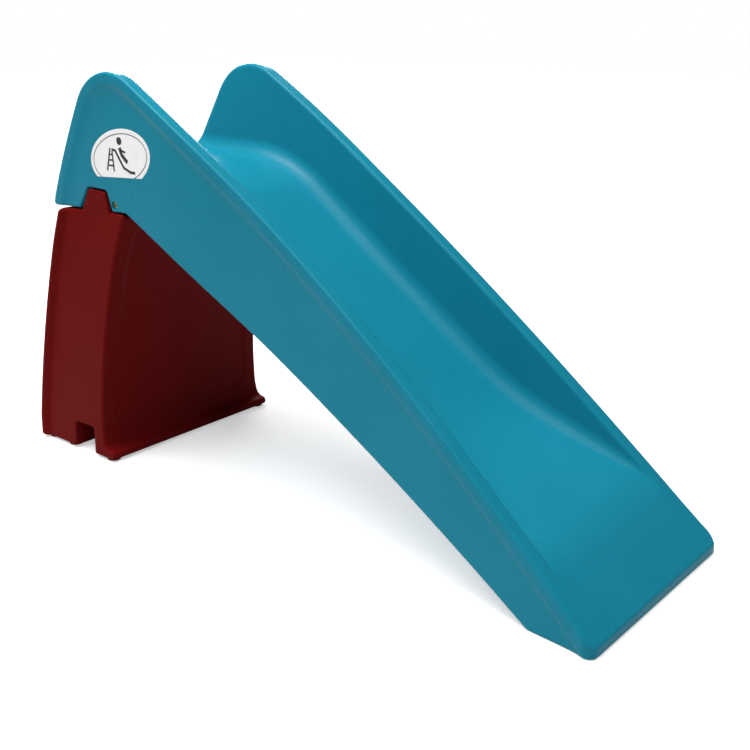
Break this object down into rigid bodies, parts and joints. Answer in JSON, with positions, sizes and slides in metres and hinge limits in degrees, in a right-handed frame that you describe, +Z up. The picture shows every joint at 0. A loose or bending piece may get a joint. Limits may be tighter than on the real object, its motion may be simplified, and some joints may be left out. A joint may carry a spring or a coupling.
{
  "type": "straight slide",
  "caption": "Children's straight slide: hollow moulded chute with high guard walls, set on a hollow moulded step base and locked by side screws.",
  "frame": {"origin": "centre of the overall box, on the floor", "axes": "+X towards the toe, where the child slides off; +Y to the slide's left, seen by a child who is sliding down; +Z up"},
  "size_m": [1.566, 0.5354, 0.904],
  "materials": {
    "chute_plastic": "satin moulded polyethylene, petrol blue",
    "base_plastic": "semi-matt moulded polyethylene, dark red",
    "yellow_zinc": "yellow zinc plate on steel",
    "insert_brass": "machined brass",
    "label_film": "white self-adhesive film with a printed pictogram",
    "plug_plastic": "black moulded plastic"
  },
  "bodies": {
    "root": {"chute": "chute_plastic", "base": "base_plastic", "lock_screw_left": "yellow_zinc", "lock_screw_right": "yellow_zinc", "washer_left": "yellow_zinc", "washer_right": "yellow_zinc", "insert_left": "insert_brass", "insert_right": "insert_brass", "label_left": "label_film", "label_right": "label_film", "chute_vent_plug": "plug_plastic", "base_vent_plug": "plug_plastic"}
  },
  "joints": []
}
